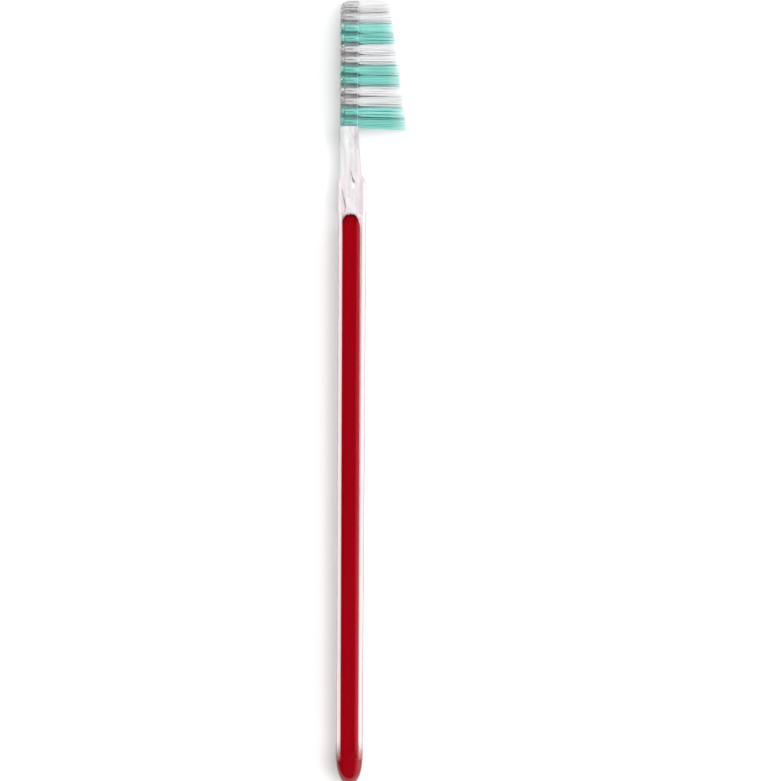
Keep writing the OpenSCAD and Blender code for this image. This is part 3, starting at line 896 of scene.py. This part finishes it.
def bundle(rng, y0, row):
    """Middles of a tuft's filaments at each level, as x from the face and as y and z from the tuft's axis."""
    packed = packed_places(rng)
    beside = parted(packed)
    spread = SPREAD_REACH / PACKED_REACH
    lean = rng.normal(0, OWN_LEAN, packed.shape) + rng.normal(0, TUFT_LEAN, 2)
    lean += [ROW_LEAN.get(row, 0.0), 0.0]
    bow = rng.normal(0, BOW, packed.shape)
    trim = TRIM_START + TRIM_SLOPE * y0 - FACE + TRIM_SLOPE * (packed * spread + lean)[:, 0]
    trim = np.minimum(trim + rng.normal(0, LENGTH_STRAY, FILAMENTS), cad_box[1][0] / MM - SHIFT[0] - FACE)
    levels = []
    for depth in DEPTHS:
        place = mix(packed, beside, eased(depth, PARTED_FROM, PARTED_TO))
        closed = FOLD_PINCH * held((depth - FOLD_FROM) / (FOLD_TO - FOLD_FROM))
        levels.append((np.full(FILAMENTS, -depth), place * [1 - closed, 1]))
    for share in SHARES:
        place = packed * mix(1, spread, share**SPREAD_POWER) + lean * share**LEAN_POWER
        levels.append((trim * share, place + bow * math.sin(math.pi * share)))
    return levels


def number(level, filament, side):
    """Number of a point on a filament's outside."""
    return (level * FILAMENTS + filament) * SIDES + side % SIDES


def filament_side(f, s):
    """Faces along one side of a filament, and their corners in that side's strip of the texture."""
    faces, corners = [], []
    left, right = ((f + (s + edge) / SIDES) / FILAMENTS for edge in (0.1, 0.9))
    for v in range(LEVELS - 1):
        faces.append((number(v, f, s), number(v, f, s + 1), number(v + 1, f, s + 1), number(v + 1, f, s)))
        low, high = v / (LEVELS + 1), (v + 1) / (LEVELS + 1)
        corners += [(left, low), (right, low), (right, high), (left, high)]
    return faces, corners


def filament_end(f, level):
    """The face that closes a filament, and its corners in the texture."""
    order = 1 if level else -1
    sides = range(SIDES)[::order]
    corners = []
    for s in sides:
        u = (f + 0.5 + END_U * math.cos(2 * math.pi * s / SIDES)) / FILAMENTS
        corners.append((u, END_V - END_V_STEP * (s % 2) if level else 0.0))
    return [tuple(number(level, f, s) for s in sides)], corners


def tuft_mesh():
    """Faces of a tuft and their corners in the texture, which are the same for all tufts."""
    parts = []
    for f in range(FILAMENTS):
        parts += [filament_side(f, s) for s in range(SIDES)]
        parts += [filament_end(f, level) for level in (0, LEVELS - 1)]
    faces = [face for some, _ in parts for face in some]
    corners = [corner for _, some in parts for corner in some]
    return faces, np.array(corners, dtype=np.float32).ravel()


TUFT_FACES, TUFT_CORNERS = tuft_mesh()
ALONG = [ROOT_SHARE * (1 - depth / HOLE_DEPTH) for depth in DEPTHS] + [mix(ROOT_SHARE, 1, s) for s in SHARES]


def tuft(y0, z0, row, column):
    """Filaments that rise on both sides of the anchor, spread a little, and end on the slanted trim."""
    rng = np.random.default_rng(SEED + 10 * row + column)
    levels = bundle(rng, y0, row)
    angle = rng.uniform(0, TURN, FILAMENTS)[:, None] + 2 * math.pi * np.arange(SIDES) / SIDES
    around = FILAMENT_RADIUS * np.stack([np.zeros_like(angle), np.cos(angle), np.sin(angle)], axis=2)
    middles = [np.column_stack([FACE + x, y0 + place[:, 0], z0 + place[:, 1]]) for x, place in levels]
    sizes = [1.0] * (LEVELS - 1) + [END_SIZE]
    rings = [middle[:, None, :] + size * around for middle, size in zip(middles, sizes)]
    slot, material = ("green_bristle", GREEN) if is_green(row) else ("white_bristle", WHITE)
    node = f"tuft_{row:02d}_{'abcd'[column]}"
    obj = make(node + "_filaments", np.reshape(rings, (-1, 3)), TUFT_FACES, [material])
    # a random tone for each filament, and painted shade on the second row of each pair, which the unlike
    # colour makes darker and greener
    own = 0.8 * rng.uniform(0, 1, FILAMENTS) ** 1.5 + 0.25 * (row % 2 == 0)
    values = {
        "along": np.repeat(ALONG, FILAMENTS * SIDES),
        "own": np.tile(np.repeat(own, SIDES), LEVELS),
    }
    for name, data in values.items():
        attribute = obj.data.attributes.new(name, "FLOAT", "POINT")
        attribute.data.foreach_set("value", data.astype(np.float32))
    obj.data.uv_layers.new(name="OFBake").data.foreach_set("uv", TUFT_CORNERS)
    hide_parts(node)


for hole in HOLES:
    tuft(*hole)

# Anchors
METAL = anchor_metal()
for name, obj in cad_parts.items():
    if name.startswith("anchors_row"):
        obj.data.materials.clear()
        obj.data.materials.append(METAL)

# Floor, light and camera, in metres
FLOOR_SIZE = 12.0
BACKDROP = (0.31, 0.31, 0.31)
STUDIO = ((-1.0, 0.05), (0.15, 0.05), (0.35, 0.4), (0.7, 1.1), (0.9, 2.2), (1.0, 3.0))  # light towards X
BRIGHTEST = max(strength for _, strength in STUDIO)
SENSOR, LENS = 36.0, 288.2  # of the camera, in its own millimetres
CAMERA_PLACE, CAMERA_TURN = (4.39 * MM, 0.56 * MM, 1.5062), 0.22  # in metres and in degrees

mesh = bpy.data.meshes.new("floor")
half = FLOOR_SIZE / 2
mesh.from_pydata([(-half, -half, 0), (half, -half, 0), (half, half, 0), (-half, half, 0)], [], [(0, 1, 2, 3)])
mesh.materials.append(floor_material())
floor = placed("floor", mesh)


def area(name, aim, distance, size, power, mirrored=False):
    """A lamp in a direction from the brush. Unless it is mirrored, no gloss or clear plastic shows it."""
    light = bpy.data.lights.new(name, "AREA")
    light.shape = "RECTANGLE"
    light.size, light.size_y = size
    light.energy = power
    obj = placed(name, light)
    direction = Vector(aim).normalized()
    obj.location = direction * distance
    obj.rotation_mode = "QUATERNION"
    obj.rotation_quaternion = direction.to_track_quat("Z", "Y")
    obj.visible_camera = False
    obj.visible_glossy = obj.visible_transmission = mirrored


area("key", aim=(0.19, 0.0, 1.0), distance=2.4, size=(1.3, 1.3), power=44)
area("head_fill", aim=(0.0, 1.0, 0.6), distance=2.4, size=(1.6, 1.0), power=18)
area("butt_fill", aim=(0.0, -1.0, 0.6), distance=2.4, size=(1.6, 1.0), power=20)
area("back_fill", aim=(-1.0, 0.0, 0.7), distance=2.4, size=(1.0, 1.0), power=12)
area("side", aim=(1.0, 0.15, 0.3), distance=2.2, size=(0.7, 1.6), power=5, mirrored=True)


def studio():
    """Dark above and behind the brush, so that its flat sides mirror nothing bright, and light low on the
    side of the bristles. The camera sees a backdrop as pale as the floor's far edge instead."""
    world = bpy.data.worlds.new("studio")
    bpy.context.scene.world = world
    w = Nodes(world)
    towards = w.add("SeparateXYZ", {0: w.coordinates["Generated"]}).outputs["X"]
    stops = (((x + 1) / 2, (strength / BRIGHTEST,) * 3) for x, strength in STUDIO)
    strength = w.maths("MULTIPLY", w.ramp(w.range(towards, 0.0, 1.0, -1.0, 1.0), *stops), BRIGHTEST)
    lit = w.tree.nodes["Background"]
    w.put(lit.inputs["Color"], (1.0, 1.0, 1.0))
    w.put(lit.inputs["Strength"], strength)
    backdrop = w.add("Background", {"Color": BACKDROP})
    seen = w.add("LightPath").outputs["Is Camera Ray"]
    shown = w.layered(lit.outputs[0], backdrop.outputs[0], seen)
    w.tree.links.new(shown, w.tree.nodes["World Output"].inputs["Surface"])


studio()
view = bpy.data.cameras.new("camera")
view.sensor_width, view.lens = SENSOR, LENS
view.clip_start, view.clip_end = 0.01, 50
camera = placed("camera", view)
camera.location = CAMERA_PLACE
camera.rotation_euler = (0, 0, math.radians(CAMERA_TURN))
bpy.context.scene.camera = camera
bpy.context.scene.view_settings.view_transform = "Standard"
